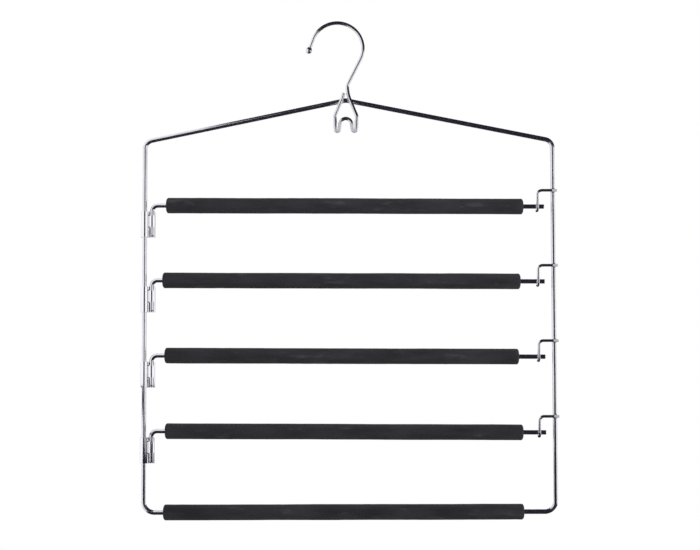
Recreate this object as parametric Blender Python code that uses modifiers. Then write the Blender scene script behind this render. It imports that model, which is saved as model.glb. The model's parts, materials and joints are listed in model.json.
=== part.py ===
"""Five-tier trouser hanger: a wire frame and hook, four swing arms with clips and catches, and foam sleeves.

Metres, +Z up. +X runs along the arms from their pivots to their catches, and the hanger's front faces -Y.
The origin is the point under the hook's crown that bears on a wardrobe rail.
"""

import math
from collections import namedtuple

import bmesh
import bpy

MM = 0.001

# Wire diameters and sheet
FRAME_WIRE = 4.2 * MM
ARM_WIRE = 4.0 * MM
HOOK_WIRE = 3.2 * MM
CATCH_WIRE = 2.5 * MM
CLIP_SHEET = 1.0 * MM

# Gaps between neighbouring pieces
WELD_GAP = 0.3 * MM
CLIP_GAP = 0.3 * MM
CATCH_GAP = 0.3 * MM
FOAM_GAP = 0.3 * MM
BALL_GAP = 0.3 * MM

# Frame: the peak hangs from the hook, and everything below is measured down from the peak
FRAME_WIDTH = 374.0 * MM
FRAME_SHIFT = 10.3 * MM
PEAK_SHIFT = -2.5 * MM
PEAK_DROP = 69.8 * MM
SHOULDER_DROP = 44.3 * MM
PEAK_BEND = 10.0 * MM
SHOULDER_BEND = 8.0 * MM
RAIL_BEND = 10.0 * MM

# Tiers
ARM_COUNT = 4
TOP_ARM_DROP = 96.5 * MM
TIER_PITCH = 68.7 * MM
RAIL_GAP = 73.5 * MM

# Hook crown, tip and ball
HOOK_INSIDE = 44.2 * MM
TIP_LEAN = math.radians(20.5)
TIP_RUN = 10.8 * MM
BALL_SIZE = 5.8 * MM

# Cascade loop: measured from the frame's peak, to the middle of the wire
NECK_RISE = 12.0 * MM
NECK_OFFSET = 1.5 * MM
NECK_BEND = 7.0 * MM
NECK_RUN = 0.2 * MM
LEG_BEND = 30.0 * MM
LOOP_END_HEADING = math.radians(78.5)
LOOP_END_RUN = 0.5 * MM
LOOP_WIDTH = 20.0 * MM
LOOP_BEND_DROP = 15.8 * MM
LOOP_BEND = 5.0 * MM
TURN_DROP = 27.2 * MM
TURN_SPACING = 15.6 * MM
TURN_GAP = 0.4 * MM
ARCH_DROP = 17.2 * MM
ARCH_BEND = 5.3 * MM

# Swing arm
PIN_LENGTH = 28.0 * MM
ELBOW_BEND = 5.3 * MM
ARM_END_GAP = 8.1 * MM
ARM_SAG = 2.0 * MM
ARM_CHAMFER = 0.6 * MM

# Pivot clip
CLIP_HEIGHT = 23.5 * MM
CLIP_TOP_BAND = 3.6 * MM
CLIP_MIDDLE_BAND = 10.8 * MM
CLIP_SLIT = 0.6 * MM
CLIP_CREASE = 0.3 * MM

# Catch
CATCH_REACH = 14.4 * MM
CATCH_TAIL = 3.6 * MM
CATCH_RISE = 14.6 * MM
CATCH_BEND = 4.0 * MM
CATCH_TOE = 4.5 * MM

# Foam sleeves: bare wire left at each end of an arm, and how far each sleeve has crept or was cut short
FOAM_OUTER = 14.3 * MM
FOAM_END_LENGTH = 2.2 * MM
FOAM_END_DEPTH = 3.5 * MM
BARE_AT_ELBOW = 7.4 * MM
BARE_AT_CATCH = 13.2 * MM
SLEEVE_CREEP = (0.3 * MM, -2.8 * MM, -0.6 * MM, 0.0 * MM)
SLEEVE_SHORT = (0.0 * MM, 0.0 * MM, 4.2 * MM, 1.4 * MM)
RAIL_SLEEVE_CREEP = -5.4 * MM

# Facets
BEND_STEP = math.radians(12)
ROUND_STEPS = 24
END_STEPS = 4
WIRE_FACETS = 4
THIN_WIRE_FACETS = 3
MERGE_DISTANCE = 0.01 * MM
SHARP_EDGE = math.radians(40)

# Places that follow from the sizes above
FRAME_Y = HOOK_WIRE / 2 + WELD_GAP + FRAME_WIRE / 2
LEFT_X = FRAME_SHIFT - FRAME_WIDTH / 2
RIGHT_X = FRAME_SHIFT + FRAME_WIDTH / 2
PEAK_X = FRAME_SHIFT + PEAK_SHIFT
PEAK_Z = -PEAK_DROP
UPRIGHT_BORE = FRAME_WIRE / 2 + CLIP_GAP
PIN_BORE = ARM_WIRE / 2 + CLIP_GAP
PIN_OFFSET = UPRIGHT_BORE + 2 * CLIP_SHEET + PIN_BORE
PIN_X = LEFT_X + PIN_OFFSET
ARM_LENGTH = RIGHT_X - PIN_X - ARM_END_GAP
CATCH_ALONG = RIGHT_X - PIN_X - CATCH_REACH
SLEEVE_LENGTH = CATCH_ALONG - BARE_AT_CATCH - ELBOW_BEND - BARE_AT_ELBOW
ARM_HEIGHTS = [PEAK_Z - TOP_ARM_DROP - TIER_PITCH * tier for tier in range(ARM_COUNT)]
RAIL_Z = ARM_HEIGHTS[-1] - RAIL_GAP

Peg = namedtuple("Peg", "x z bend turn")
LEFT = 1
RIGHT = -1


def loose_end(x, z):
    """A wire's end, as a peg with no bend."""
    return Peg(x, z, 0.0, 0)


def on_peg(peg, heading):
    """The point where a wire running along heading touches the peg."""
    reach = peg.turn * peg.bend
    return peg.x + math.sin(heading) * reach, peg.z - math.cos(heading) * reach


def run_heading(peg, following):
    """Heading of the straight run that leaves one peg and touches the following one."""
    dx = following.x - peg.x
    dz = following.z - peg.z
    offset = (following.turn * following.bend - peg.turn * peg.bend) / math.hypot(dx, dz)
    return math.atan2(dz, dx) - math.asin(max(-1.0, min(1.0, offset)))


def arc(peg, arrive, leave):
    """Points of the bend on a peg, from one heading to the next in the peg's own turn."""
    sweep = peg.turn * ((peg.turn * (leave - arrive)) % (2 * math.pi))
    steps = max(1, math.ceil(abs(sweep) / BEND_STEP))
    return [on_peg(peg, arrive + sweep * step / steps) for step in range(steps + 1)]


def route(pegs, closed=False):
    """A wire pulled round the pegs of a bending jig, as points: straight runs between pegs, arcs on them."""
    if closed:
        headings = [run_heading(a, b) for a, b in zip(pegs, pegs[1:] + pegs[:1])]
        bends = zip(pegs, headings[-1:] + headings[:-1], headings)
        return [point for bend in bends for point in arc(*bend)]
    headings = [run_heading(a, b) for a, b in zip(pegs, pegs[1:])]
    bends = zip(pegs[1:-1], headings, headings[1:])
    inner = [point for bend in bends for point in arc(*bend)]
    return [pegs[0][:2]] + inner + [pegs[-1][:2]]


def at_depth(points, y):
    """Points of a flat route, set at one depth."""
    return [(x, y, z) for x, z in points]


def metal(name, colour, roughness):
    material = bpy.data.materials.new(name)
    material.use_nodes = True
    shader = material.node_tree.nodes["Principled BSDF"]
    shader.inputs["Base Color"].default_value = (*colour, 1.0)
    shader.inputs["Roughness"].default_value = roughness
    shader.inputs["Metallic"].default_value = 1.0
    return material


def foam(name, colour):
    material = bpy.data.materials.new(name)
    material.use_nodes = True
    shader = material.node_tree.nodes["Principled BSDF"]
    shader.inputs["Base Color"].default_value = (*colour, 1.0)
    shader.inputs["Roughness"].default_value = 0.9
    return material


def place(name, data, collection, material, location=(0, 0, 0), turned=0.0, parent=None):
    """Puts a piece in the collection, turned about the depth axis."""
    piece = bpy.data.objects.new(name, data)
    collection.objects.link(piece)
    piece.location = location
    piece.rotation_euler = (0, turned, 0)
    piece.parent = parent
    if not data.materials:
        data.materials.append(material)
    return piece


def wire_curve(name, points, diameter, facets, closed=False, end_scale=None):
    """A round wire along points. end_scale draws in the first and last point, for chamfered ends."""
    curve = bpy.data.curves.new(name, "CURVE")
    curve.dimensions = "3D"
    curve.bevel_depth = diameter / 2
    curve.bevel_resolution = facets
    curve.use_fill_caps = True
    spline = curve.splines.new("POLY")
    spline.points.add(len(points) - 1)
    for knot, point in zip(spline.points, points):
        knot.co = (*point, 1.0)
    spline.use_cyclic_u = closed
    if end_scale:
        spline.points[0].radius = end_scale
        spline.points[-1].radius = end_scale
    return curve


def turned_mesh(name, profile, closed):
    """A mesh of profile points in the XZ plane, for a Screw modifier about Z."""
    form = bmesh.new()
    knots = [form.verts.new((x, 0, z)) for x, z in profile]
    for first, second in zip(knots, knots[1:]):
        form.edges.new((first, second))
    if closed:
        form.edges.new((knots[-1], knots[0]))
    mesh = bpy.data.meshes.new(name)
    form.to_mesh(mesh)
    form.free()
    return mesh


def add_screw(piece):
    screw = piece.modifiers.new("turn", "SCREW")
    screw.axis = "Z"
    screw.steps = ROUND_STEPS
    screw.render_steps = ROUND_STEPS
    screw.use_merge_vertices = True
    screw.merge_threshold = MERGE_DISTANCE
    screw.use_normal_calculate = True
    screw.use_smooth_shade = True


def frame_points():
    """The frame's closed loop, from the rail's left corner up, over the peak and down the right side."""
    reach = FRAME_WIDTH / 2
    pegs = [
        Peg(FRAME_SHIFT - reach + RAIL_BEND, RAIL_Z + RAIL_BEND, RAIL_BEND, RIGHT),
        Peg(FRAME_SHIFT - reach + SHOULDER_BEND, PEAK_Z - SHOULDER_DROP, SHOULDER_BEND, RIGHT),
        Peg(PEAK_X, PEAK_Z - PEAK_BEND, PEAK_BEND, RIGHT),
        Peg(FRAME_SHIFT + reach - SHOULDER_BEND, PEAK_Z - SHOULDER_DROP, SHOULDER_BEND, RIGHT),
        Peg(FRAME_SHIFT + reach - RAIL_BEND, RAIL_Z + RAIL_BEND, RAIL_BEND, RIGHT),
    ]
    return at_depth(route(pegs, closed=True), FRAME_Y)


def crown_peg():
    radius = HOOK_INSIDE / 2
    return Peg(0.0, -radius, radius + HOOK_WIRE / 2, RIGHT)


def tip_place():
    """The middle of the ball: the wire leaves the crown on a straight lean and ends there."""
    crown = crown_peg()
    along, across = math.cos(TIP_LEAN), math.sin(TIP_LEAN)
    return (
        crown.x - crown.bend * along - TIP_RUN * across,
        crown.z + crown.bend * across - TIP_RUN * along,
    )


def hook_points():
    """The hook from its tip over the crown, down the shank and round the cascade loop to its closed end."""
    turn = HOOK_WIRE / 2 + TURN_GAP / 2
    outer = LOOP_WIDTH / 2 - LOOP_BEND
    leg_reach = NECK_OFFSET + LEG_BEND
    leg_z = PEAK_Z + NECK_RISE - NECK_RUN
    last_leg = Peg(PEAK_X - leg_reach, leg_z, LEG_BEND, LEFT)
    end_x, end_z = on_peg(last_leg, LOOP_END_HEADING)
    end_x += LOOP_END_RUN * math.cos(LOOP_END_HEADING)
    end_z += LOOP_END_RUN * math.sin(LOOP_END_HEADING)
    pegs = [
        loose_end(*tip_place()),
        crown_peg(),
        Peg(PEAK_X + NECK_OFFSET + NECK_BEND, PEAK_Z + NECK_RISE, NECK_BEND, LEFT),
        Peg(PEAK_X + leg_reach, leg_z, LEG_BEND, LEFT),
        Peg(PEAK_X + outer, PEAK_Z - LOOP_BEND_DROP, LOOP_BEND, RIGHT),
        Peg(PEAK_X + TURN_SPACING / 2, PEAK_Z - TURN_DROP, turn, RIGHT),
        Peg(PEAK_X, PEAK_Z - ARCH_DROP - ARCH_BEND, ARCH_BEND, LEFT),
        Peg(PEAK_X - TURN_SPACING / 2, PEAK_Z - TURN_DROP, turn, RIGHT),
        Peg(PEAK_X - outer, PEAK_Z - LOOP_BEND_DROP, LOOP_BEND, RIGHT),
        last_leg,
        loose_end(end_x, end_z),
    ]
    return at_depth(route(pegs), 0.0)


def ball_profile():
    """The ball's half section with a blind bore for the wire, from the bore's floor to the lowest point."""
    radius = BALL_SIZE / 2
    bore = HOOK_WIRE / 2 + BALL_GAP
    mouth = math.asin(bore / radius)
    steps = ROUND_STEPS // 2
    angles = [mouth + (math.pi - mouth) * step / steps for step in range(steps)]
    skin = [(radius * math.sin(angle), radius * math.cos(angle)) for angle in angles]
    return [(0.0, -BALL_GAP), (bore, -BALL_GAP)] + skin + [(0.0, -radius)]


def arm_pegs():
    """A swing arm about its pin's axis: up the pin, round the elbow and out to the free end."""
    return [
        loose_end(0.0, -PIN_LENGTH),
        Peg(ELBOW_BEND, -ELBOW_BEND, ELBOW_BEND, RIGHT),
        loose_end(ARM_LENGTH, -ARM_SAG),
    ]


def arm_slope():
    """Heading of the arm's straight run, a little below level."""
    return run_heading(*arm_pegs()[1:])


def arm_height(along):
    """Height of the arm's middle line at a distance from the pin."""
    return -ARM_SAG + (along - ARM_LENGTH) * math.tan(arm_slope())


def arm_points():
    """The arm's route, with a point one chamfer in from each end."""
    points = route(arm_pegs())
    slope = arm_slope()
    above_pin_end = (0.0, -PIN_LENGTH + ARM_CHAMFER)
    before_tip = (ARM_LENGTH - ARM_CHAMFER * math.cos(slope), -ARM_SAG - ARM_CHAMFER * math.sin(slope))
    return at_depth(points[:1] + [above_pin_end] + points[1:-1] + [before_tip] + points[-1:], 0.0)


def catch_points():
    """A catch about its weld on the right upright: along, down before the arm and back under it."""
    depth = -(max(FRAME_WIRE, ARM_WIRE) / 2 + WELD_GAP + CATCH_WIRE / 2)
    under = ARM_WIRE / 2 + CATCH_GAP + CATCH_WIRE / 2
    across = route([
        loose_end(CATCH_TAIL, 0.0),
        Peg(CATCH_BEND - CATCH_REACH, -CATCH_BEND, CATCH_BEND, LEFT),
        loose_end(-CATCH_REACH, -CATCH_RISE),
    ])
    backward = route([
        loose_end(depth, 0.0),
        Peg(depth + under, -CATCH_RISE, under, LEFT),
        loose_end(CATCH_TOE, -CATCH_RISE - under),
    ])
    return at_depth(across[:-1], depth) + [(-CATCH_REACH, y, z) for y, z in backward[1:]]


def circle(x, radius):
    angles = [2 * math.pi * step / ROUND_STEPS for step in range(ROUND_STEPS)]
    return [(x + radius * math.cos(angle), radius * math.sin(angle)) for angle in angles]


def clip_outlines():
    """The clip seen from above: one outline round both eyes, creased between them, and the two bores."""
    upright_eye = Peg(0.0, 0.0, UPRIGHT_BORE + CLIP_SHEET, LEFT)
    pin_eye = Peg(PIN_OFFSET, 0.0, PIN_BORE + CLIP_SHEET, LEFT)
    to_upright = upright_eye.bend + CLIP_CREASE
    to_pin = pin_eye.bend + CLIP_CREASE
    along = (to_upright**2 - to_pin**2 + PIN_OFFSET**2) / (2 * PIN_OFFSET)
    across = math.sqrt(to_upright**2 - along**2)
    front_crease = Peg(along, -across, CLIP_CREASE, RIGHT)
    back_crease = Peg(along, across, CLIP_CREASE, RIGHT)
    skin = route([upright_eye, front_crease, pin_eye, back_crease], closed=True)
    return [skin, circle(0.0, UPRIGHT_BORE), circle(PIN_OFFSET, PIN_BORE)]


def clip_blank(collection):
    """The uncut clip as a mesh object, its top at Z = 0."""
    curve = bpy.data.curves.new("clip_outline", "CURVE")
    curve.dimensions = "2D"
    curve.fill_mode = "BOTH"
    curve.extrude = CLIP_HEIGHT / 2
    for outline in clip_outlines():
        spline = curve.splines.new("POLY")
        spline.points.add(len(outline) - 1)
        for knot, (x, y) in zip(spline.points, outline):
            knot.co = (x, y, 0.0, 1.0)
        spline.use_cyclic_u = True
    outline_object = bpy.data.objects.new("clip_outline", curve)
    collection.objects.link(outline_object)
    graph = bpy.context.evaluated_depsgraph_get()
    mesh = bpy.data.meshes.new_from_object(outline_object.evaluated_get(graph))
    bpy.data.objects.remove(outline_object)
    form = bmesh.new()
    form.from_mesh(mesh)
    bmesh.ops.remove_doubles(form, verts=form.verts, dist=MERGE_DISTANCE)
    bmesh.ops.translate(form, verts=form.verts, vec=(0, 0, -CLIP_HEIGHT / 2))
    bmesh.ops.recalc_face_normals(form, faces=form.faces)
    form.to_mesh(mesh)
    form.free()
    blank = bpy.data.objects.new("clip_blank", mesh)
    collection.objects.link(blank)
    return blank


def box_cutter(name, collection, low, high):
    """A box between two corners that is only used to cut."""
    form = bmesh.new()
    bmesh.ops.create_cube(form, size=1.0)
    bmesh.ops.scale(form, verts=form.verts, vec=[b - a for a, b in zip(low, high)])
    bmesh.ops.translate(form, verts=form.verts, vec=[(a + b) / 2 for a, b in zip(low, high)])
    mesh = bpy.data.meshes.new(name)
    form.to_mesh(mesh)
    form.free()
    cutter = bpy.data.objects.new(name, mesh)
    collection.objects.link(cutter)
    cutter.hide_render = True
    cutter.display_type = "WIRE"
    return cutter


def clip_mesh(cutters):
    """The clip, its pin eye lanced into bands: the middle one keeps its front, the others their back."""
    blank = clip_blank(cutters)
    upper_slit = -CLIP_TOP_BAND
    lower_slit = -CLIP_TOP_BAND - CLIP_MIDDLE_BAND
    inner = PIN_OFFSET - PIN_BORE - CLIP_SHEET / 4
    clear = PIN_OFFSET + CLIP_HEIGHT
    half_slit = CLIP_SLIT / 2
    front = (-CLIP_HEIGHT, 0.0)
    back = (0.0, CLIP_HEIGHT)
    bands = {
        "cut_front_of_top_band": (front, upper_slit - half_slit, CLIP_HEIGHT),
        "cut_back_of_middle_band": (back, lower_slit - half_slit, upper_slit + half_slit),
        "cut_front_of_bottom_band": (front, -2 * CLIP_HEIGHT, lower_slit + half_slit),
    }
    for name, ((near, far), bottom, top) in bands.items():
        cut = blank.modifiers.new(name, "BOOLEAN")
        cut.operation = "DIFFERENCE"
        cut.solver = "MANIFOLD"
        cut.object = box_cutter(name, cutters, (inner, near, bottom), (clear, far, top))
    graph = bpy.context.evaluated_depsgraph_get()
    mesh = bpy.data.meshes.new_from_object(blank.evaluated_get(graph))
    bpy.data.objects.remove(blank)
    mesh.name = "pivot_clip"
    mesh.shade_smooth()
    mesh.set_sharp_from_angle(angle=SHARP_EDGE)
    return mesh


def sleeve_profile(length):
    """A foam sleeve's wall as a closed section about Z, its lower end at Z = 0, with rounded ends."""
    outer = FOAM_OUTER / 2
    bore = max(FRAME_WIRE, ARM_WIRE) / 2 + FOAM_GAP
    top_end = []
    bottom_end = []
    for step in range(END_STEPS + 1):
        angle = math.pi / 2 * step / END_STEPS
        inward = FOAM_END_DEPTH * (1 - math.sin(angle))
        short = FOAM_END_LENGTH * (1 - math.cos(angle))
        top_end.append((outer - inward, length - short))
        bottom_end.append((outer - inward, short))
    return [(bore, length)] + top_end + bottom_end[::-1] + [(bore, 0.0)]


def clear_scene():
    for leftover in list(bpy.data.objects):
        bpy.data.objects.remove(leftover)


def new_collection(name):
    collection = bpy.data.collections.new(name)
    bpy.context.scene.collection.children.link(collection)
    return collection


def build():
    clear_scene()
    hanger = new_collection("multi_tier_clothes_hanger")
    cutters = new_collection("cutters")
    chrome = metal("bright_chrome", (0.80, 0.80, 0.82), 0.08)
    pressed = metal("pressed_chrome", (0.76, 0.76, 0.78), 0.16)
    black_foam = foam("black_foam", (0.022, 0.022, 0.024))

    frame = wire_curve("frame_wire", frame_points(), FRAME_WIRE, WIRE_FACETS, closed=True)
    place("frame_wire", frame, hanger, chrome)
    hook = wire_curve("hook_wire", hook_points(), HOOK_WIRE, THIN_WIRE_FACETS)
    place("hook_wire", hook, hanger, chrome)
    tip_x, tip_z = tip_place()
    ball = turned_mesh("hook_ball_tip", ball_profile(), closed=False)
    add_screw(place("hook_ball_tip", ball, hanger, chrome, (tip_x, 0.0, tip_z), TIP_LEAN))

    chamfered = 1 - 2 * ARM_CHAMFER / ARM_WIRE
    arm = wire_curve("swing_arm", arm_points(), ARM_WIRE, WIRE_FACETS, end_scale=chamfered)
    catch = wire_curve("catch_hook", catch_points(), CATCH_WIRE, THIN_WIRE_FACETS)
    clip = clip_mesh(cutters)
    along_wire = math.pi / 2

    for number, (height, creep, short) in enumerate(zip(ARM_HEIGHTS, SLEEVE_CREEP, SLEEVE_SHORT), start=1):
        pivot = bpy.data.objects.new(f"arm_{number}_pivot", None)
        hanger.objects.link(pivot)
        pivot.location = (PIN_X, FRAME_Y, height)
        place(f"swing_arm_{number}", arm, hanger, chrome, parent=pivot)
        start = ELBOW_BEND + BARE_AT_ELBOW + creep
        sleeve_place = (start, 0.0, arm_height(start))
        sleeve_turn = along_wire - arm_slope()
        name = f"foam_sleeve_{number}"
        sleeve = turned_mesh(name, sleeve_profile(SLEEVE_LENGTH - short), closed=True)
        add_screw(place(name, sleeve, hanger, black_foam, sleeve_place, sleeve_turn, pivot))
        clip_top = height - ELBOW_BEND - CLIP_GAP
        place(f"pivot_clip_{number}", clip, hanger, pressed, (LEFT_X, FRAME_Y, clip_top))
        catch_top = height + arm_height(CATCH_ALONG) + CATCH_RISE
        place(f"catch_hook_{number}", catch, hanger, chrome, (RIGHT_X, FRAME_Y, catch_top))

    name = f"foam_sleeve_{ARM_COUNT + 1}"
    rail_start = (FRAME_SHIFT + RAIL_SLEEVE_CREEP - SLEEVE_LENGTH / 2, FRAME_Y, RAIL_Z)
    rail_sleeve = turned_mesh(name, sleeve_profile(SLEEVE_LENGTH), closed=True)
    add_screw(place(name, rail_sleeve, hanger, black_foam, rail_start, along_wire))


build()
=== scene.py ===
"""Looks of a five-tier trouser hanger: bright chrome wires, pressed clips and black foam sleeves.

Metres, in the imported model's frame: +Z up, +X along the arms, and the hanger's front towards -Y.
"""

import json
import math
from collections import namedtuple

import bmesh
import bpy
from mathutils import Matrix, Vector, noise


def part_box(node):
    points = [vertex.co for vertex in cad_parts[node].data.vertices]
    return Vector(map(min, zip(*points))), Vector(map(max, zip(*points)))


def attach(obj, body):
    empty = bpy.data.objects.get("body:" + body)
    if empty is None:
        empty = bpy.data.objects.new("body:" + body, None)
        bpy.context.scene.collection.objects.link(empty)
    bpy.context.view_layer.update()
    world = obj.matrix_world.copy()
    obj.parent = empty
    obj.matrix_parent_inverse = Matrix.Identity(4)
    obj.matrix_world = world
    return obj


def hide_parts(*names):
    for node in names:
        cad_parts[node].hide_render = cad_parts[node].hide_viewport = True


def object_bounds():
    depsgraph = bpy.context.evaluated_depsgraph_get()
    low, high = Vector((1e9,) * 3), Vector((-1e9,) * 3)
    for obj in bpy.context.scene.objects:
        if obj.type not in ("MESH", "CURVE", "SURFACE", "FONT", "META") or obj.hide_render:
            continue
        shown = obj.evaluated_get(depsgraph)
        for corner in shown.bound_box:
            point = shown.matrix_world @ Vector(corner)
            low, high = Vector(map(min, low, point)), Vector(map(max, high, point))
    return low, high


MM = 0.001

Peg = namedtuple("Peg", "x z bend turn")
Zone = namedtuple("Zone", "centre axes near far")
Grain = namedtuple("Grain", "scale detail roughness", defaults=[0.5])
Plate = namedtuple("Plate", "dark light smooth dull")
Skin = namedtuple("Skin", "dark light cell_scale cell_depth")
LEFT = 1
RIGHT = -1

# Wires and sheet
FRAME_WIRE = 4.2 * MM
ARM_WIRE = 4.0 * MM
HOOK_WIRE = 3.2 * MM
CATCH_WIRE = 2.5 * MM
CLIP_SHEET = 1.0 * MM
GAP = 0.3 * MM
WIRE_END_ROUND = 0.35 * MM
ARM_END_ROUND = 0.7 * MM

# Frame bends, and the peak's place between the uprights
PEAK_SHIFT = -2.5 * MM
SHOULDER_DROP = 44.3 * MM
PEAK_BEND = 10.0 * MM
SHOULDER_BEND = 8.0 * MM
RAIL_BEND = 10.0 * MM

# Hook crown and cascade loop
HOOK_INSIDE = 44.2 * MM
TIP_LEAN = math.radians(20.5)
TIP_RUN = 10.8 * MM
NECK_RISE = 12.0 * MM
NECK_OFFSET = 1.5 * MM
NECK_BEND = 7.0 * MM
NECK_RUN = 0.2 * MM
LEG_BEND = 30.0 * MM
LOOP_END_HEADING = math.radians(78.5)
LOOP_END_RUN = 0.5 * MM
LOOP_WIDTH = 20.0 * MM
LOOP_BEND_DROP = 15.8 * MM
LOOP_BEND = 5.0 * MM
TURN_DROP = 27.2 * MM
TURN_SPACING = 15.6 * MM
TURN_GAP = 0.4 * MM
ARCH_DROP = 17.2 * MM
ARCH_BEND = 5.3 * MM

# Ball tip: its mouth is a little wider than the wire, and a collar rolls from there down to the wire
BALL_MOUTH = 1.12
COLLAR_LENGTH = 0.5 * MM
COLLAR_ROLL = 0.25 * MM
COLLAR_DRAW_IN = 0.05 * MM
COLLAR_GAP = 0.02 * MM

# Arms, catches and clips
ELBOW_BEND = 5.3 * MM
ARM_SAG = 2.0 * MM
CATCH_BEND = 4.0 * MM
CLIP_TOP_BAND = 3.6 * MM
CLIP_MIDDLE_BAND = 10.8 * MM
CLIP_SLIT = 0.4 * MM
CLIP_CREASE = 1.5 * MM
CLIP_EDGE_ROUND = 0.14 * MM
CLIP_CUT_IN = 1.75 * MM
CLIP_CUT_TURN = math.radians(-12)
CLIP_BACK_CUT = CLIP_SHEET / 4
CLIP_SLOT = 0.9 * MM
CLIP_SLOT_REACH = 3.2 * MM
CLIP_SLOT_FLOOR = 0.4 * MM

# Welds
WELD_SPREAD = 2.1 * MM
WELD_DEPTH = 1.0 * MM
WELD_LUMP = 0.3
WELD_LUMP_SCALE = 1.3
WELD_SUBDIVISIONS = 4

# Foam sleeves
FOAM_END_LENGTH = 2.2 * MM
FOAM_END_DEPTH = 3.5 * MM
FOAM_GRIP = 0.05 * MM
FOAM_RING_STEP = 2.0 * MM
FOAM_WAVE = 0.16 * MM
FOAM_WAVE_LENGTH = 42.0 * MM
FOAM_WAVE_ROUND = 0.4
FOAM_DENT = 0.07 * MM
FOAM_DENT_LENGTH = 7.0 * MM
FOAM_SEED_STEP = 10.0
FOAM_CUT_FACING = 0.8

# Smoothness
BEND_STEP = math.radians(3)
WIRE_FACETS = 10
TURN_STEPS = 64
END_STEPS = 8
MERGE_DISTANCE = 0.002 * MM
SHARP_EDGE = math.radians(40)
LONG_RUN = 4.0 * MM
RUN_IN = 1.5 * MM

# The stretch of a noise's values that most of it lies in
NOISE_LOW = 0.3
NOISE_HIGH = 0.7

# Chrome
CLOUDS = Grain(40.0, 4.0)
POLISH = Grain(120.0, 2.0)
PEEL = Grain(1800.0, 2.0)
PEEL_BUMP = 0.03
PEEL_DEPTH = 0.02 * MM
WIRE_PLATE = Plate((0.75, 0.745, 0.80), (0.83, 0.825, 0.87), 0.17, 0.23)
ARM_PLATE = WIRE_PLATE._replace(smooth=0.10, dull=0.14)
CLIP_PLATE = Plate((0.89, 0.885, 0.94), (0.95, 0.945, 0.985), 0.08, 0.12)
WELD_PLATE = Plate((0.66, 0.655, 0.70), (0.80, 0.795, 0.84), 0.28, 0.42)

# Matt zones of the chrome, on the loop's turns and on the catches' welded ends
MATT_ROUGHNESS = 0.5
MATT_METALLIC = 0.5
LOOP_MATT_DROP = 30.2 * MM
LOOP_MATT_NEAR = 9.0 * MM
LOOP_MATT_FAR = 11.0 * MM
TAIL_MATT_SHIFT = 2.0 * MM
TAIL_MATT_NEAR = 2.8 * MM
TAIL_MATT_FAR = 3.4 * MM

# Foam's look
STREAKS = (0.25, 1.0, 1.0)
MOTTLE = Grain(110.0, 4.0, 0.55)
RUBBED = Grain(150.0, 3.0, 0.6)
UNEVEN = Grain(420.0, 3.0)
SCUFFS = [(0.58, (0.0, 0.0, 0.0)), (0.78, (0.030, 0.029, 0.034))]
FOAM_SMOOTH = 0.82
FOAM_DULL = 0.95
FOAM_SPECULAR = 0.3
FOAM_SHEEN = 0.06
FOAM_SHEEN_ROUGHNESS = 0.6
CELL_BUMP = 0.4
UNEVEN_BUMP = 0.35
UNEVEN_CELL_DEPTHS = 2
FOAM_SKIN = Skin((0.0155, 0.0147, 0.0178), (0.0315, 0.0298, 0.0356), 1500.0, 0.08 * MM)
FOAM_CUT = Skin((0.0105, 0.0100, 0.0120), (0.0250, 0.0236, 0.0280), 900.0, 0.22 * MM)

# Camera, floor and light
CAMERA_PLACE = (17.7 * MM, -1600.0 * MM, -334.0 * MM)
CAMERA_YAW = math.radians(0.23)
CAMERA_PITCH = math.radians(3.688)
CAMERA_ROLL = math.radians(-0.15)
CAMERA_LENS = 90.42
CAMERA_SENSOR = 36.0
WHITE = (1.0, 1.0, 1.0, 1.0)
FILL_COLOUR = (0.97, 0.98, 1.0, 1.0)
FILL_STRENGTH = 0.5
FLOOR_DROP = 0.30
FLOOR_REACH = 1.6
FLOOR_FADE_NEAR = 0.7
FLOOR_FADE_FAR = 1.5
FLOOR_LIFT = 0.32
FLOOR_ROUGHNESS = 0.9
FLOOR_GRAIN = Grain(3.0, 4.0)
FLOOR_TONES = [(NOISE_LOW, (0.86, 0.86, 0.86)), (NOISE_HIGH, (0.90, 0.90, 0.90))]
KEY_PLACE = (0.8, -0.8, 0.1)
KEY_TARGET = (0.0, 0.0, -0.25)
KEY_SIZE = (0.7, 0.7)
KEY_POWER = 10.0

# Dark cards that the chrome reflects: their colour, and the planes that several of them share
FLAG_COLOUR = (0.021, 0.020, 0.030, 1.0)
FLAG_FRONT = -1.9
FLAG_BACK = 1.9
FLAG_NEAR = -0.15
FLAG_TOP = 0.19
FLAG_BOTTOM = -0.68
FLAG_FOOT = -1.4

for leftover in ("Cube", "Light", "Camera"):
    if leftover in bpy.data.objects:
        bpy.data.objects.remove(bpy.data.objects[leftover])
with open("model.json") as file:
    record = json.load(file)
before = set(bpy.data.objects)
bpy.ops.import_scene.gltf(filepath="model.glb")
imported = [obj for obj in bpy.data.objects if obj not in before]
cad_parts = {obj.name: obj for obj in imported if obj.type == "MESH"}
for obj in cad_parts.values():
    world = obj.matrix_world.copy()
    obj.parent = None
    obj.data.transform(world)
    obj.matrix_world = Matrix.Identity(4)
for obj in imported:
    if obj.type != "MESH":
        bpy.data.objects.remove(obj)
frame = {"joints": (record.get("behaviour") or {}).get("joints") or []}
cad_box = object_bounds()


# Wires, as pulled round the pegs of a bending jig

def loose_end(x, z):
    """A wire's end, as a peg with no bend."""
    return Peg(x, z, 0.0, 0)


def on_peg(peg, heading):
    """The point where a wire running along heading touches the peg."""
    reach = peg.turn * peg.bend
    return peg.x + math.sin(heading) * reach, peg.z - math.cos(heading) * reach


def run_heading(peg, following):
    """Heading of the straight run that leaves one peg and touches the following one."""
    dx = following.x - peg.x
    dz = following.z - peg.z
    offset = (following.turn * following.bend - peg.turn * peg.bend) / math.hypot(dx, dz)
    return math.atan2(dz, dx) - math.asin(max(-1.0, min(1.0, offset)))


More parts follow.
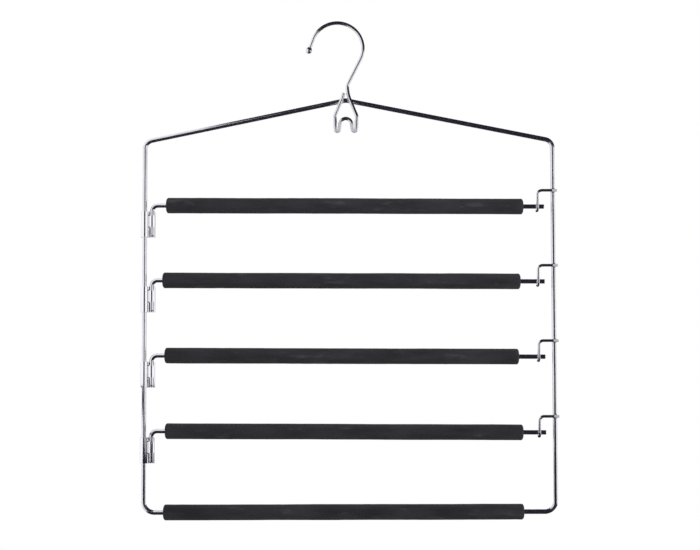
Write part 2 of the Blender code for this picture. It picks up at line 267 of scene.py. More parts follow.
def arc(peg, arrive, leave):
    """Points of the bend on a peg, from one heading to the next in the peg's own turn."""
    sweep = peg.turn * ((peg.turn * (leave - arrive)) % (2 * math.pi))
    steps = max(1, math.ceil(abs(sweep) / BEND_STEP))
    return [on_peg(peg, arrive + sweep * step / steps) for step in range(steps + 1)]


def route(pegs, closed=False):
    """Points of a wire pulled round pegs: straight runs between the pegs and arcs on them."""
    if closed:
        headings = [run_heading(a, b) for a, b in zip(pegs, pegs[1:] + pegs[:1])]
        bends = zip(pegs, headings[-1:] + headings[:-1], headings)
        return [point for bend in bends for point in arc(*bend)]
    headings = [run_heading(a, b) for a, b in zip(pegs, pegs[1:])]
    bends = zip(pegs[1:-1], headings, headings[1:])
    inner = [point for bend in bends for point in arc(*bend)]
    return [pegs[0][:2]] + inner + [pegs[-1][:2]]


def at_depth(points, y):
    """Points of a flat route, set at one depth."""
    return [Vector((x, y, z)) for x, z in points]


def run_in(points, closed):
    """The points with two more near the ends of each long run, so that the run shades as straight."""
    pairs = list(zip(points, points[1:] + points[:1]))
    filled = []
    for point, following in pairs if closed else pairs[:-1]:
        filled.append(point)
        along = following - point
        if along.length > LONG_RUN:
            step = along.normalized() * RUN_IN
            filled += [point + step, following - step]
    return filled if closed else filled + points[-1:]


def rounded_end(end, inner, radius, rounding):
    """Points and radius shares of a wire's rounded end, from its tip inwards."""
    inward = (inner - end).normalized()
    knots = []
    for step in range(END_STEPS + 1):
        angle = math.pi / 2 * step / END_STEPS
        back = rounding * (1 - math.cos(angle))
        drawn_in = rounding * (1 - math.sin(angle))
        knots.append((end + inward * back, (radius - drawn_in) / radius))
    return knots


# Meshes

def link(name, data):
    """A new object in the scene."""
    made = bpy.data.objects.new(name, data)
    bpy.context.scene.collection.objects.link(made)
    return made


def smooth(mesh):
    """Smooth shading, with the edges that are meant to be sharp left sharp."""
    mesh.shade_smooth()
    mesh.set_sharp_from_angle(angle=SHARP_EDGE)
    return mesh


def mesh_of(object_made, name):
    """The object's evaluated mesh with its loose caps welded, and the object itself removed."""
    graph = bpy.context.evaluated_depsgraph_get()
    mesh = bpy.data.meshes.new_from_object(object_made.evaluated_get(graph))
    bpy.data.objects.remove(object_made)
    form = bmesh.new()
    form.from_mesh(mesh)
    bmesh.ops.remove_doubles(form, verts=form.verts, dist=MERGE_DISTANCE)
    bmesh.ops.recalc_face_normals(form, faces=form.faces)
    form.to_mesh(mesh)
    form.free()
    mesh.name = name
    mesh.materials.clear()
    return smooth(mesh)


def wire_mesh(name, points, diameter, closed=False, rounding=WIRE_END_ROUND):
    """A round wire along points, with rounded ends unless it is a closed loop."""
    knots = [(point, 1.0) for point in run_in(points, closed)]
    if not closed:
        first = rounded_end(points[0], points[1], diameter / 2, rounding)
        last = rounded_end(points[-1], points[-2], diameter / 2, rounding)
        knots = first + knots[1:-1] + last[::-1]
    curve = bpy.data.curves.new(name, "CURVE")
    curve.dimensions = "3D"
    curve.bevel_depth = diameter / 2
    curve.bevel_resolution = WIRE_FACETS
    curve.use_fill_caps = True
    spline = curve.splines.new("POLY")
    spline.points.add(len(knots) - 1)
    for knot, (point, share) in zip(spline.points, knots):
        knot.co = (*point, 1.0)
        knot.radius = share
    spline.use_cyclic_u = closed
    return mesh_of(link(name, curve), name)


def turned_form(profile, closed):
    """A shape turned about X from (along, radius) points, not yet a mesh."""
    form = bmesh.new()
    knots = [form.verts.new((along, radius, 0)) for along, radius in profile]
    pairs = list(zip(knots, knots[1:])) + ([(knots[-1], knots[0])] if closed else [])
    edges = [form.edges.new(pair) for pair in pairs]
    bmesh.ops.spin(
        form, geom=knots + edges, axis=(1, 0, 0), cent=(0, 0, 0),
        angle=2 * math.pi, steps=TURN_STEPS, use_merge=True,
    )
    bmesh.ops.remove_doubles(form, verts=form.verts, dist=MERGE_DISTANCE)
    bmesh.ops.recalc_face_normals(form, faces=form.faces)
    return form


def placed_mesh(form, name, place):
    """The form as a smooth mesh, put in its place."""
    mesh = bpy.data.meshes.new(name)
    form.transform(place)
    form.to_mesh(mesh)
    form.free()
    return smooth(mesh)


# Materials

def new_material(name):
    """A material's nodes, links, shader and a source of object coordinates."""
    material = bpy.data.materials.new(name)
    material.use_nodes = True
    nodes, links = material.node_tree.nodes, material.node_tree.links
    place = nodes.new("ShaderNodeTexCoord").outputs["Object"]
    return material, nodes, links, nodes["Principled BSDF"], place


def noise_texture(nodes, links, place, grain):
    """A noise of that grain."""
    texture = nodes.new("ShaderNodeTexNoise")
    texture.inputs["Scale"].default_value = grain.scale
    texture.inputs["Detail"].default_value = grain.detail
    texture.inputs["Roughness"].default_value = grain.roughness
    links.new(place, texture.inputs["Vector"])
    return texture.outputs["Fac"]


def ramp(nodes, links, value, stops):
    """A colour ramp over two (position, colour) stops."""
    node = nodes.new("ShaderNodeValToRGB")
    for element, (position, colour) in zip(node.color_ramp.elements, stops):
        element.position = position
        element.color = (*colour, 1.0)
    links.new(value, node.inputs["Fac"])
    return node.outputs["Color"]


def map_range(nodes, links, value, source, target):
    """A value mapped from the source range to the target range, and held at its ends."""
    node = nodes.new("ShaderNodeMapRange")
    node.inputs["From Min"].default_value, node.inputs["From Max"].default_value = source
    node.inputs["To Min"].default_value, node.inputs["To Max"].default_value = target
    links.new(value, node.inputs["Value"])
    return node.outputs["Result"]


def spread(nodes, links, value, low, high):
    """A noise value's middle stretch, spread over a range."""
    return map_range(nodes, links, value, (NOISE_LOW, NOISE_HIGH), (low, high))


def vector_math(nodes, links, operation, value, other=None):
    """A vector operation's node on a value and perhaps a fixed vector."""
    node = nodes.new("ShaderNodeVectorMath")
    node.operation = operation
    links.new(value, node.inputs[0])
    if other:
        node.inputs[1].default_value = other
    return node


def bump(nodes, links, height, strength, distance, before=None):
    """A bumped normal, on top of another one if there is one before it."""
    node = nodes.new("ShaderNodeBump")
    node.inputs["Strength"].default_value = strength
    node.inputs["Distance"].default_value = distance
    links.new(height, node.inputs["Height"])
    if before:
        links.new(before, node.inputs["Normal"])
    return node.outputs["Normal"]


def mixed(nodes, links, share, low, high):
    """A value between low and high, either of them a number or an output."""
    node = nodes.new("ShaderNodeMix")
    links.new(share, node.inputs["Factor"])
    for socket, value in ((node.inputs["A"], low), (node.inputs["B"], high)):
        if isinstance(value, float):
            socket.default_value = value
        else:
            links.new(value, socket)
    return node.outputs["Result"]


def matt_share(nodes, links, place, zone):
    """1 at the zone's centre and 0 outside it, with distances counted along its own axes only."""
    offset = vector_math(nodes, links, "SUBTRACT", place, zone.centre).outputs["Vector"]
    counted = vector_math(nodes, links, "MULTIPLY", offset, zone.axes).outputs["Vector"]
    length = vector_math(nodes, links, "LENGTH", counted).outputs["Value"]
    return map_range(nodes, links, length, (zone.near, zone.far), (1.0, 0.0))


def chrome(name, plate, zone=None):
    """Bright plate: faint clouding, uneven polish, a fine orange peel and perhaps a matt zone."""
    material, nodes, links, shader, place = new_material(name)
    clouds = noise_texture(nodes, links, place, CLOUDS)
    tones = [(NOISE_LOW, plate.dark), (NOISE_HIGH, plate.light)]
    links.new(ramp(nodes, links, clouds, tones), shader.inputs["Base Color"])
    polish = spread(nodes, links, noise_texture(nodes, links, place, POLISH), plate.smooth, plate.dull)
    peel = noise_texture(nodes, links, place, PEEL)
    links.new(bump(nodes, links, peel, PEEL_BUMP, PEEL_DEPTH), shader.inputs["Normal"])
    if zone:
        share = matt_share(nodes, links, place, zone)
        links.new(mixed(nodes, links, share, polish, MATT_ROUGHNESS), shader.inputs["Roughness"])
        links.new(mixed(nodes, links, share, 1.0, MATT_METALLIC), shader.inputs["Metallic"])
    else:
        links.new(polish, shader.inputs["Roughness"])
        shader.inputs["Metallic"].default_value = 1.0
    return material


def foam(name, skin):
    """Matt foam: charcoal in soft streaks along the bar, a fine mottle, paler scuffs and closed cells."""
    material, nodes, links, shader, place = new_material(name)
    drawn_out = nodes.new("ShaderNodeMapping")
    drawn_out.inputs["Scale"].default_value = STREAKS
    links.new(place, drawn_out.inputs["Vector"])
    along = drawn_out.outputs["Vector"]
    mottle = noise_texture(nodes, links, along, MOTTLE)
    mottled = ramp(nodes, links, mottle, [(NOISE_LOW, skin.dark), (NOISE_HIGH, skin.light)])
    scuffs = ramp(nodes, links, noise_texture(nodes, links, along, RUBBED), SCUFFS)
    colour = nodes.new("ShaderNodeMix")
    colour.data_type = "RGBA"
    colour.blend_type = "ADD"
    colour.inputs["Factor"].default_value = 1.0
    links.new(mottled, colour.inputs["A"])
    links.new(scuffs, colour.inputs["B"])
    links.new(colour.outputs["Result"], shader.inputs["Base Color"])
    links.new(spread(nodes, links, mottle, FOAM_SMOOTH, FOAM_DULL), shader.inputs["Roughness"])
    cells = nodes.new("ShaderNodeTexVoronoi")
    cells.inputs["Scale"].default_value = skin.cell_scale
    links.new(place, cells.inputs["Vector"])
    pitted = bump(nodes, links, cells.outputs["Distance"], CELL_BUMP, skin.cell_depth)
    uneven = noise_texture(nodes, links, place, UNEVEN)
    uneven_depth = UNEVEN_CELL_DEPTHS * skin.cell_depth
    links.new(bump(nodes, links, uneven, UNEVEN_BUMP, uneven_depth, pitted), shader.inputs["Normal"])
    shader.inputs["Specular IOR Level"].default_value = FOAM_SPECULAR
    shader.inputs["Sheen Weight"].default_value = FOAM_SHEEN
    shader.inputs["Sheen Roughness"].default_value = FOAM_SHEEN_ROUGHNESS
    return material


# Places that follow from the solids

FRAME_BODY = "hanger_frame"
frame_low, frame_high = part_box("frame_wire")
frame_y = (frame_low.y + frame_high.y) / 2
left_x = frame_low.x + FRAME_WIRE / 2
right_x = frame_high.x - FRAME_WIRE / 2
rail_z = frame_low.z + FRAME_WIRE / 2
peak_x = (left_x + right_x) / 2 + PEAK_SHIFT
peak_z = frame_high.z - FRAME_WIRE / 2
pins = {joint["child"]: Vector(joint["pos_m"]) for joint in frame["joints"]}

crown = Peg(0.0, -HOOK_INSIDE / 2, HOOK_INSIDE / 2 + HOOK_WIRE / 2, RIGHT)
tip_x = crown.x - crown.bend * math.cos(TIP_LEAN) - TIP_RUN * math.sin(TIP_LEAN)
tip_z = crown.z + crown.bend * math.sin(TIP_LEAN) - TIP_RUN * math.cos(TIP_LEAN)

loop_zone = Zone((peak_x, 0, peak_z - LOOP_MATT_DROP), (1, 0, 1), LOOP_MATT_NEAR, LOOP_MATT_FAR)
tail_zone = Zone((right_x + TAIL_MATT_SHIFT, 0, 0), (1, 0, 0), TAIL_MATT_NEAR, TAIL_MATT_FAR)

wire_chrome = chrome("wire_chrome", WIRE_PLATE)
hook_chrome = chrome("hook_chrome", WIRE_PLATE, loop_zone)
catch_chrome = chrome("catch_chrome", WIRE_PLATE, tail_zone)
arm_chrome = chrome("arm_chrome", ARM_PLATE)
clip_chrome = chrome("clip_chrome", CLIP_PLATE)
weld_chrome = chrome("weld_chrome", WELD_PLATE)
foam_skin = foam("foam_skin", FOAM_SKIN)
foam_cut = foam("foam_cut", FOAM_CUT)


# Pieces

def dress(name, mesh, materials, body, node=None):
    """A finished piece: its materials, the body it rides on and the solid it stands for."""
    piece = link(name, mesh)
    for material in materials:
        mesh.materials.append(material)
    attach(piece, body)
    if node:
        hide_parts(node)
    return piece


def add_wire(node, body, points, diameter, material, **ends):
    """A wire's finished piece, which stands for the solid of that node."""
    name = f"{node}_chrome"
    dress(name, wire_mesh(name, points, diameter, **ends), [material], body, node)


# Frame and hook

def frame_points():
    """The frame's wire: up the left upright, over the peak, down the right one and along the rail."""
    pegs = [
        Peg(left_x + RAIL_BEND, rail_z + RAIL_BEND, RAIL_BEND, RIGHT),
        Peg(left_x + SHOULDER_BEND, peak_z - SHOULDER_DROP, SHOULDER_BEND, RIGHT),
        Peg(peak_x, peak_z - PEAK_BEND, PEAK_BEND, RIGHT),
        Peg(right_x - SHOULDER_BEND, peak_z - SHOULDER_DROP, SHOULDER_BEND, RIGHT),
        Peg(right_x - RAIL_BEND, rail_z + RAIL_BEND, RAIL_BEND, RIGHT),
    ]
    return at_depth(route(pegs, closed=True), frame_y)


def hook_points():
    """The hook's wire: from its tip over the crown, down across the peak, round the loop and up again."""
    turn = HOOK_WIRE / 2 + TURN_GAP / 2
    outer = LOOP_WIDTH / 2 - LOOP_BEND
    leg_reach = NECK_OFFSET + LEG_BEND
    leg_z = peak_z + NECK_RISE - NECK_RUN
    last_leg = Peg(peak_x - leg_reach, leg_z, LEG_BEND, LEFT)
    end_x, end_z = on_peg(last_leg, LOOP_END_HEADING)
    end_x += LOOP_END_RUN * math.cos(LOOP_END_HEADING)
    end_z += LOOP_END_RUN * math.sin(LOOP_END_HEADING)
    pegs = [
        loose_end(tip_x, tip_z),
        crown,
        Peg(peak_x + NECK_OFFSET + NECK_BEND, peak_z + NECK_RISE, NECK_BEND, LEFT),
        Peg(peak_x + leg_reach, leg_z, LEG_BEND, LEFT),
        Peg(peak_x + outer, peak_z - LOOP_BEND_DROP, LOOP_BEND, RIGHT),
        Peg(peak_x + TURN_SPACING / 2, peak_z - TURN_DROP, turn, RIGHT),
        Peg(peak_x, peak_z - ARCH_DROP - ARCH_BEND, ARCH_BEND, LEFT),
        Peg(peak_x - TURN_SPACING / 2, peak_z - TURN_DROP, turn, RIGHT),
        Peg(peak_x - outer, peak_z - LOOP_BEND_DROP, LOOP_BEND, RIGHT),
        last_leg,
        loose_end(end_x, end_z),
    ]
    return at_depth(route(pegs), 0.0)


def ball_form(radius):
    """A ball turned about X, with a small rolled collar on its +X side, where the wire goes in."""
    bore = HOOK_WIRE / 2
    mouth = math.asin(bore / radius) * BALL_MOUTH
    steps = TURN_STEPS // 2
    angles = [math.pi - (math.pi - mouth) * step / steps for step in range(steps + 1)]
    profile = [(radius * math.cos(angle), radius * math.sin(angle)) for angle in angles]
    profile[0] = (-radius, 0.0)
    neck, width = profile[-1]
    end = neck + COLLAR_LENGTH
    collar = [(neck + COLLAR_ROLL, width - COLLAR_DRAW_IN), (end, bore + COLLAR_GAP), (end, 0.0)]
    return turned_form(profile + collar, closed=False)


def build_frame_and_hook():
    """The frame's wire, the hook's wire and the ball on its tip."""
    add_wire("frame_wire", FRAME_BODY, frame_points(), FRAME_WIRE, wire_chrome, closed=True)
    add_wire("hook_wire", FRAME_BODY, hook_points(), HOOK_WIRE, hook_chrome)
    low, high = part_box("hook_ball_tip")
    place = Matrix.Translation((tip_x, 0, tip_z)) @ Matrix.Rotation(TIP_LEAN - math.pi / 2, 4, "Y")
    ball = placed_mesh(ball_form((high.y - low.y) / 2), "hook_ball_tip_chrome", place)
    dress("hook_ball_tip_chrome", ball, [wire_chrome], FRAME_BODY, "hook_ball_tip")


# Welds

def add_weld(name, x, z):
    """A lumpy nugget between the frame's front and a wire that crosses it there."""
    form = bmesh.new()
    bmesh.ops.create_icosphere(form, subdivisions=WELD_SUBDIVISIONS, radius=1.0)
    for vertex in form.verts:
        place = vertex.co * WELD_LUMP_SCALE + Vector((x, 0, z)) / MM
        vertex.co *= 1.0 + WELD_LUMP * noise.noise(place)
    bmesh.ops.scale(form, verts=form.verts, vec=(WELD_SPREAD, WELD_DEPTH, WELD_SPREAD))
    front_y = frame_y - FRAME_WIRE / 2 - GAP / 2
    mesh = placed_mesh(form, name, Matrix.Translation((x, front_y, z)))
    dress(name, mesh, [weld_chrome], FRAME_BODY)


def weld_hook():
    """Welds where the hook's two legs lie on the frame, one on each side of the peak."""
    drop = NECK_RISE - NECK_RUN
    reach = NECK_OFFSET + LEG_BEND - math.sqrt(LEG_BEND**2 - drop**2)
    fall = PEAK_BEND - math.sqrt(PEAK_BEND**2 - reach**2)
    add_weld("weld_hook_left", peak_x - reach, peak_z - fall)
    add_weld("weld_hook_right", peak_x + reach, peak_z - fall)


# Swing arms

def build_arm(number, body):
    """An arm from its pin's foot round the elbow to its free end, and the heading of its long run."""
    node = f"swing_arm_{number}"
    pin = pins[body]
    low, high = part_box(node)
    pegs = [
        loose_end(pin.x, low.z),
        Peg(pin.x + ELBOW_BEND, pin.z - ELBOW_BEND, ELBOW_BEND, RIGHT),
        loose_end(high.x, pin.z - ARM_SAG),
    ]
    points = at_depth(route(pegs), pin.y)
    add_wire(node, body, points, ARM_WIRE, arm_chrome, rounding=ARM_END_ROUND)
    return run_heading(*pegs[1:])


# Catches

def build_catch(number):
    """A catch from its welded end across to its leg, down in front of the arm and back under it."""
    node = f"catch_hook_{number}"
    low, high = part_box(node)
    radius = CATCH_WIRE / 2
    leg_x, front_y = low.x + radius, low.y + radius
    top_z, foot_z = high.z - radius, low.z + radius
    under = ARM_WIRE / 2 + GAP + radius
    across = route([
        loose_end(high.x, top_z),
        Peg(leg_x + CATCH_BEND, top_z - CATCH_BEND, CATCH_BEND, LEFT),
        loose_end(leg_x, foot_z + under),
    ])
    backward = route([
        loose_end(front_y, top_z),
        Peg(front_y + under, foot_z + under, under, LEFT),
        loose_end(high.y, foot_z),
    ])
    points = at_depth(across[:-1], front_y) + [Vector((leg_x, y, z)) for y, z in backward[1:]]
    add_wire(node, FRAME_BODY, points, CATCH_WIRE, catch_chrome)
    add_weld(f"weld_catch_{number}", right_x, top_z)


# Pivot clips

def circle(x, radius):
    """Points round a bore."""
    angles = [2 * math.pi * step / TURN_STEPS for step in range(TURN_STEPS)]
    return [(x + radius * math.cos(angle), radius * math.sin(angle)) for angle in angles]


def clip_outlines(pin_offset):
    """The clip seen from above: one outline round both eyes, creased between them, and the two bores."""
    upright_bore = FRAME_WIRE / 2 + GAP
    pin_bore = ARM_WIRE / 2 + GAP
    upright_eye = Peg(0.0, 0.0, upright_bore + CLIP_SHEET, LEFT)
    pin_eye = Peg(pin_offset, 0.0, pin_bore + CLIP_SHEET, LEFT)
    to_upright = upright_eye.bend + CLIP_CREASE
    to_pin = pin_eye.bend + CLIP_CREASE
    along = (to_upright**2 - to_pin**2 + pin_offset**2) / (2 * pin_offset)
    across = math.sqrt(to_upright**2 - along**2)
    front_crease = Peg(along, -across, CLIP_CREASE, RIGHT)
    back_crease = Peg(along, across, CLIP_CREASE, RIGHT)
    skin = route([upright_eye, front_crease, pin_eye, back_crease], closed=True)
    return [skin, circle(0.0, upright_bore), circle(pin_offset, pin_bore)]


def clip_blank(pin_offset, height):
    """The clip before it is cut, with its top at Z = 0."""
    curve = bpy.data.curves.new("clip_outline", "CURVE")
    curve.dimensions = "2D"
    curve.fill_mode = "BOTH"
    curve.extrude = height / 2
    for outline in clip_outlines(pin_offset):
        spline = curve.splines.new("POLY")
        spline.points.add(len(outline) - 1)
        for knot, (x, y) in zip(spline.points, outline):
            knot.co = (x, y, 0.0, 1.0)
        spline.use_cyclic_u = True
    mesh = mesh_of(link("clip_outline", curve), "clip_blank")
    mesh.transform(Matrix.Translation((0, 0, -height / 2)))
    return link("clip_blank", mesh)


def clip_cuts(pin_offset, height):
    """Boxes (low, high, turn) that lance the pin's eye: in front above and below, behind in the middle."""
    front_inner = pin_offset - CLIP_CUT_IN
    back_inner = pin_offset - ARM_WIRE / 2 - GAP - CLIP_BACK_CUT
    outer = pin_offset + height
    upper = -CLIP_TOP_BAND
    lower = upper - CLIP_MIDDLE_BAND
    half_slit, half_slot = CLIP_SLIT / 2, CLIP_SLOT / 2
    boxes = [
        ((front_inner, -height, upper - half_slit), (outer, 0, height), CLIP_CUT_TURN),
        ((back_inner, 0, lower - half_slit), (outer, height, upper + half_slit), 0.0),
        ((front_inner, -height, -2 * height), (outer, 0, lower + half_slit), CLIP_CUT_TURN),
    ]
    for slit_z in (upper, lower):
        slot_low = (pin_offset - CLIP_SLOT_REACH, -height, slit_z - half_slot)
        slot_high = (pin_offset, -CLIP_SLOT_FLOOR, slit_z + half_slot)
        boxes.append((slot_low, slot_high, 0.0))
    return boxes


def cutter_box(name, low, high, pin_offset, turn):
    """A box between two corners, turned about the pin."""
    form = bmesh.new()
    bmesh.ops.create_cube(form, size=1.0)
    bmesh.ops.scale(form, verts=form.verts, vec=[b - a for a, b in zip(low, high)])
    bmesh.ops.translate(form, verts=form.verts, vec=[(a + b) / 2 for a, b in zip(low, high)])
    about_pin = Matrix.Rotation(turn, 3, "Z")
    bmesh.ops.rotate(form, verts=form.verts, cent=(pin_offset, 0, 0), matrix=about_pin)
    mesh = bpy.data.meshes.new(name)
    form.to_mesh(mesh)
    form.free()
    return link(name, mesh)


def clip_mesh(pin_offset, height):
    """The pressed clip about the upright, its top at Z = 0: the pin's eye is lanced into three bands."""
    blank = clip_blank(pin_offset, height)
    cutters = [cutter_box(f"clip_cut_{index}", low, high, pin_offset, turn)
               for index, (low, high, turn) in enumerate(clip_cuts(pin_offset, height))]
    for cutter in cutters:
        cut = blank.modifiers.new(cutter.name, "BOOLEAN")
        cut.operation = "DIFFERENCE"
        cut.solver = "MANIFOLD"
        cut.object = cutter
    edge = blank.modifiers.new("edge", "BEVEL")
    edge.width = CLIP_EDGE_ROUND
    edge.segments = 1
    edge.limit_method = "ANGLE"
    edge.angle_limit = SHARP_EDGE
    edge.use_clamp_overlap = True
    mesh = mesh_of(blank, "pivot_clip_chrome")
    for cutter in cutters:
        bpy.data.objects.remove(cutter)
    return mesh


def build_clip(number, pattern):
    """A clip on the left upright, copied from the pattern."""
    node = f"pivot_clip_{number}"
    name = f"{node}_chrome"
    top_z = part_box(node)[1].z
    mesh = pattern.copy()
    mesh.transform(Matrix.Translation((left_x, frame_y, top_z)))
    mesh.name = name
    dress(name, mesh, [clip_chrome], FRAME_BODY, node)


# Foam sleeves

def sleeve_profile(length, outer, bore):
    """The sleeve's wall as (along, radius) points, with rounded ends and rings along the outside."""
    near_end = []
    for step in range(END_STEPS + 1):
        angle = math.pi / 2 * step / END_STEPS
        along = FOAM_END_LENGTH * (1 - math.cos(angle))
        near_end.append((along, outer - FOAM_END_DEPTH * (1 - math.sin(angle))))
    far_end = [(length - along, radius) for along, radius in reversed(near_end)]
    run = length - 2 * FOAM_END_LENGTH
    rings = round(run / FOAM_RING_STEP)
    middle = [(FOAM_END_LENGTH + run * step / rings, outer) for step in range(1, rings)]
    return [(0.0, bore)] + near_end + middle + far_end + [(length, bore)]


def mark_cut_ends(form, outer):
    """Gives the flat ends round the wire the second material, that of cut foam."""
    for face in form.faces:
        centre = face.calc_center_median()
        inside = math.hypot(centre.y, centre.z) < outer - FOAM_END_DEPTH / 2
        face.material_index = 1 if inside and abs(face.normal.x) > FOAM_CUT_FACING else 0


def ripple(form, outer, bore, seed):
    """Moves the skin in and out a little: slow waves along the bar and small dents."""
    for vertex in form.verts:
        along, y, z = vertex.co
        radius = math.hypot(y, z)
        share = max(0.0, (radius - bore) / (outer - bore))
        round_y, round_z = y / outer * FOAM_WAVE_ROUND, z / outer * FOAM_WAVE_ROUND
        wave = noise.noise(Vector((along / FOAM_WAVE_LENGTH, round_y, round_z + seed)))
        dent = noise.noise(Vector((along, y, z)) / FOAM_DENT_LENGTH + Vector((0, seed, 0)))
        move = (FOAM_WAVE * wave + FOAM_DENT * dent) * share
        vertex.co.y += y / radius * move
        vertex.co.z += z / radius * move


def build_sleeve(number, body, wire, slope):
    """A sleeve round a wire of that diameter, which rises to the right by the slope."""
    node = f"foam_sleeve_{number}"
    name = f"{node}_soft"
    low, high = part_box(node)
    outer = (high.y - low.y) / 2
    bore = wire / 2 + FOAM_GRIP
    length = high.x - low.x
    form = turned_form(sleeve_profile(length, outer, bore), closed=True)
    mark_cut_ends(form, outer)
    ripple(form, outer, bore, FOAM_SEED_STEP * number)
    middle = (low + high) / 2
    turn = Matrix.Rotation(-slope, 4, "Y")
    place = Matrix.Translation(middle) @ turn @ Matrix.Translation((-length / 2, 0, 0))
    mesh = placed_mesh(form, name, place)
    piece = dress(name, mesh, [foam_skin, foam_cut], body, node)


build_frame_and_hook()
weld_hook()
clip_low, clip_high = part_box("pivot_clip_1")
clip_pattern = clip_mesh(pins["arm_1"].x - left_x, clip_high.z - clip_low.z)
for number, body in enumerate(sorted(pins), start=1):
    slope = build_arm(number, body)
    build_catch(number)
    build_clip(number, clip_pattern)
    build_sleeve(number, body, ARM_WIRE, slope)
build_sleeve(len(pins) + 1, FRAME_BODY, FRAME_WIRE, 0.0)


# Studio

def add_camera():
    """The camera at the photo's angle."""
    camera = link("camera", bpy.data.cameras.new("camera"))
    camera.data.lens = CAMERA_LENS
    camera.data.sensor_width = CAMERA_SENSOR
    turn = Matrix.Rotation(CAMERA_YAW, 4, "Z") @ Matrix.Rotation(math.pi / 2 + CAMERA_PITCH, 4, "X")
    roll = Matrix.Rotation(CAMERA_ROLL, 4, "Z")
    camera.matrix_world = Matrix.Translation(CAMERA_PLACE) @ turn @ roll
    bpy.context.scene.camera = camera


def larger(nodes, links, first, second):
    """The larger of two values."""
    node = nodes.new("ShaderNodeMath")
    node.operation = "MAXIMUM"
    links.new(first, node.inputs[0])
    links.new(second, node.inputs[1])
    return node.outputs["Value"]


def seen_share(nodes, links):
    """1 for what is seen straight, in reflections or through something, and 0 for what lights the scene."""
    path = nodes.new("ShaderNodeLightPath").outputs
    seen = larger(nodes, links, path["Is Camera Ray"], path["Is Glossy Ray"])
    return larger(nodes, links, seen, path["Is Transmission Ray"])


def add_world():
    """White to the eye and in reflections, and a softer white as the light that fills in."""
    world = bpy.data.worlds.new("studio")
    bpy.context.scene.world = world
    world.use_nodes = True
    nodes, links = world.node_tree.nodes, world.node_tree.links
    seen = nodes["Background"]
    seen.inputs["Color"].default_value = WHITE
    fill = nodes.new("ShaderNodeBackground")
    fill.inputs["Color"].default_value = FILL_COLOUR
    fill.inputs["Strength"].default_value = FILL_STRENGTH
    mix = nodes.new("ShaderNodeMixShader")
    links.new(seen_share(nodes, links), mix.inputs["Fac"])
    links.new(fill.outputs["Background"], mix.inputs[1])
    links.new(seen.outputs["Background"], mix.inputs[2])
    links.new(mix.outputs["Shader"], nodes["World Output"].inputs["Surface"])


def card(name, corners, material):
    """A flat card of the studio between corners."""
    mesh = bpy.data.meshes.new(name)
    mesh.from_pydata(corners, [], [range(len(corners))])
    mesh.materials.append(material)
    made = link(name, mesh)
    return made


def upright(start, end, low, high):
    """Corners of a card that stands over the line from start to end, given as (x, y)."""
    return [(*start, low), (*end, low), (*end, high), (*start, high)]


def level(near, far, z):
    """Corners of a level card between two opposite corners, given as (x, y)."""
    return [(*near, z), (far[0], near[1], z), (*far, z), (near[0], far[1], z)]


def flag_cloth():
    """An even, nearly black cloth."""
    material = bpy.data.materials.new("flag_cloth")
    material.use_nodes = True
    nodes, links = material.node_tree.nodes, material.node_tree.links
    nodes.remove(nodes["Principled BSDF"])
    glow = nodes.new("ShaderNodeEmission")
    glow.inputs["Color"].default_value = FLAG_COLOUR
    links.new(glow.outputs["Emission"], nodes["Material Output"].inputs["Surface"])
    return material


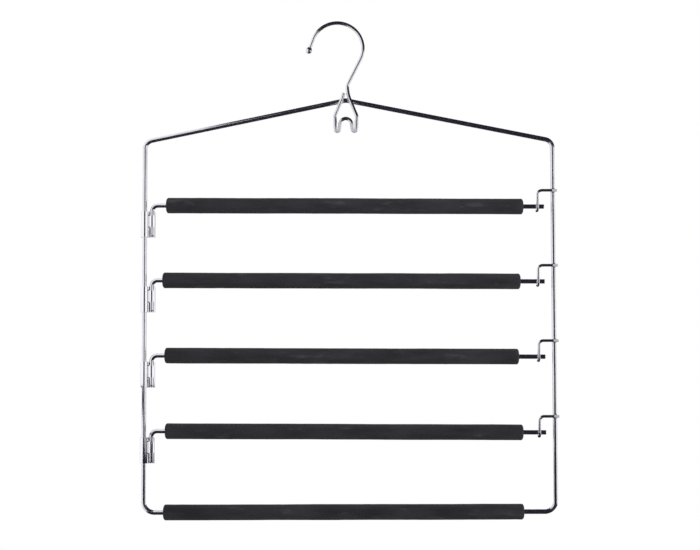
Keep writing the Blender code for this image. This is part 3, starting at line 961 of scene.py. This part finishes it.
def add_flags():
    """Dark cards that are only seen in reflections, as a photographer flags chrome."""
    near_low = [(-0.17, FLAG_FOOT), (0.19, FLAG_FOOT), (0.19, -0.31), (0.10, -0.335), (-0.17, -0.42)]
    flags = {
        "flag_front": upright((-0.7, FLAG_FRONT), (0.75, FLAG_FRONT), FLAG_FOOT, FLAG_TOP),
        "flag_front_high": upright((-1.0, FLAG_FRONT), (0.9, FLAG_FRONT), FLAG_TOP, 0.45),
        "flag_front_low": upright((-1.3, FLAG_FRONT), (1.8, FLAG_FRONT), FLAG_FOOT, -0.47),
        "flag_near_middle": upright((-0.40, -0.85), (0.20, -0.85), -0.6, 0.0),
        "flag_near_right": upright((0.25, -0.5), (1.40, -1.85), FLAG_FOOT, -0.05),
        "flag_far_right": upright((0.61, -0.615), (1.40, -1.232), FLAG_FOOT, -0.05),
        "flag_near_low": [(x, FLAG_NEAR, z) for x, z in near_low],
        "flag_fin": upright((0.0, FLAG_NEAR), (0.0, -0.015), -0.6, -0.40),
        "flag_left": upright((-0.211, -0.090), (-0.276, 0.021), -0.358, -0.331),
        "flag_hook_front": upright((0.06, FLAG_NEAR), (0.19, FLAG_NEAR), -0.04, 0.03),
        "flag_hook_side": upright((0.19, FLAG_NEAR), (0.19, 0.12), -0.01, 0.03),
        "flag_back": upright((-1.3, FLAG_BACK), (1.3, FLAG_BACK), FLAG_FOOT, 0.5),
        "flag_top": level((-0.19, FLAG_FRONT), (1.6, 1.2), FLAG_TOP),
        "flag_bottom": level((-0.38, FLAG_FRONT), (1.0, 0.8), FLAG_BOTTOM),
    }
    cloth = flag_cloth()
    for name, corners in flags.items():
        flag = card(name, corners, cloth)
        flag.visible_camera = False
        flag.visible_diffuse = False
        flag.visible_shadow = False
        flag.visible_transmission = False


def floor_paint():
    """A pale matt floor that fades out at its rim."""
    material, nodes, links, shader, place = new_material("floor_paint")
    grain = noise_texture(nodes, links, place, FLOOR_GRAIN)
    links.new(ramp(nodes, links, grain, FLOOR_TONES), shader.inputs["Base Color"])
    shader.inputs["Roughness"].default_value = FLOOR_ROUGHNESS
    shader.inputs["Emission Color"].default_value = WHITE
    lift = map_range(nodes, links, seen_share(nodes, links), (0.0, 1.0), (0.0, FLOOR_LIFT))
    links.new(lift, shader.inputs["Emission Strength"])
    length = vector_math(nodes, links, "LENGTH", place).outputs["Value"]
    fade = map_range(nodes, links, length, (FLOOR_FADE_NEAR, FLOOR_FADE_FAR), (1.0, 0.0))
    links.new(fade, shader.inputs["Alpha"])
    return material


def add_floor():
    """The floor, some way under the hanger."""
    floor = card("floor", level((-FLOOR_REACH,) * 2, (FLOOR_REACH,) * 2, 0), floor_paint())
    floor.location = (0, 0, cad_box[0].z - FLOOR_DROP)


def add_softbox(name, place, target, size, power):
    """A soft lamp that isn't seen in reflections."""
    lamp = bpy.data.lights.new(name, "AREA")
    lamp.shape = "RECTANGLE"
    lamp.size, lamp.size_y = size
    lamp.energy = power
    made = link(name, lamp)
    made.location = place
    made.rotation_euler = (Vector(target) - Vector(place)).to_track_quat("-Z", "Y").to_euler()
    made.visible_glossy = False


add_camera()
add_world()
add_flags()
add_floor()
add_softbox("key", KEY_PLACE, KEY_TARGET, KEY_SIZE, KEY_POWER)
bpy.context.scene.view_settings.view_transform = "Standard"
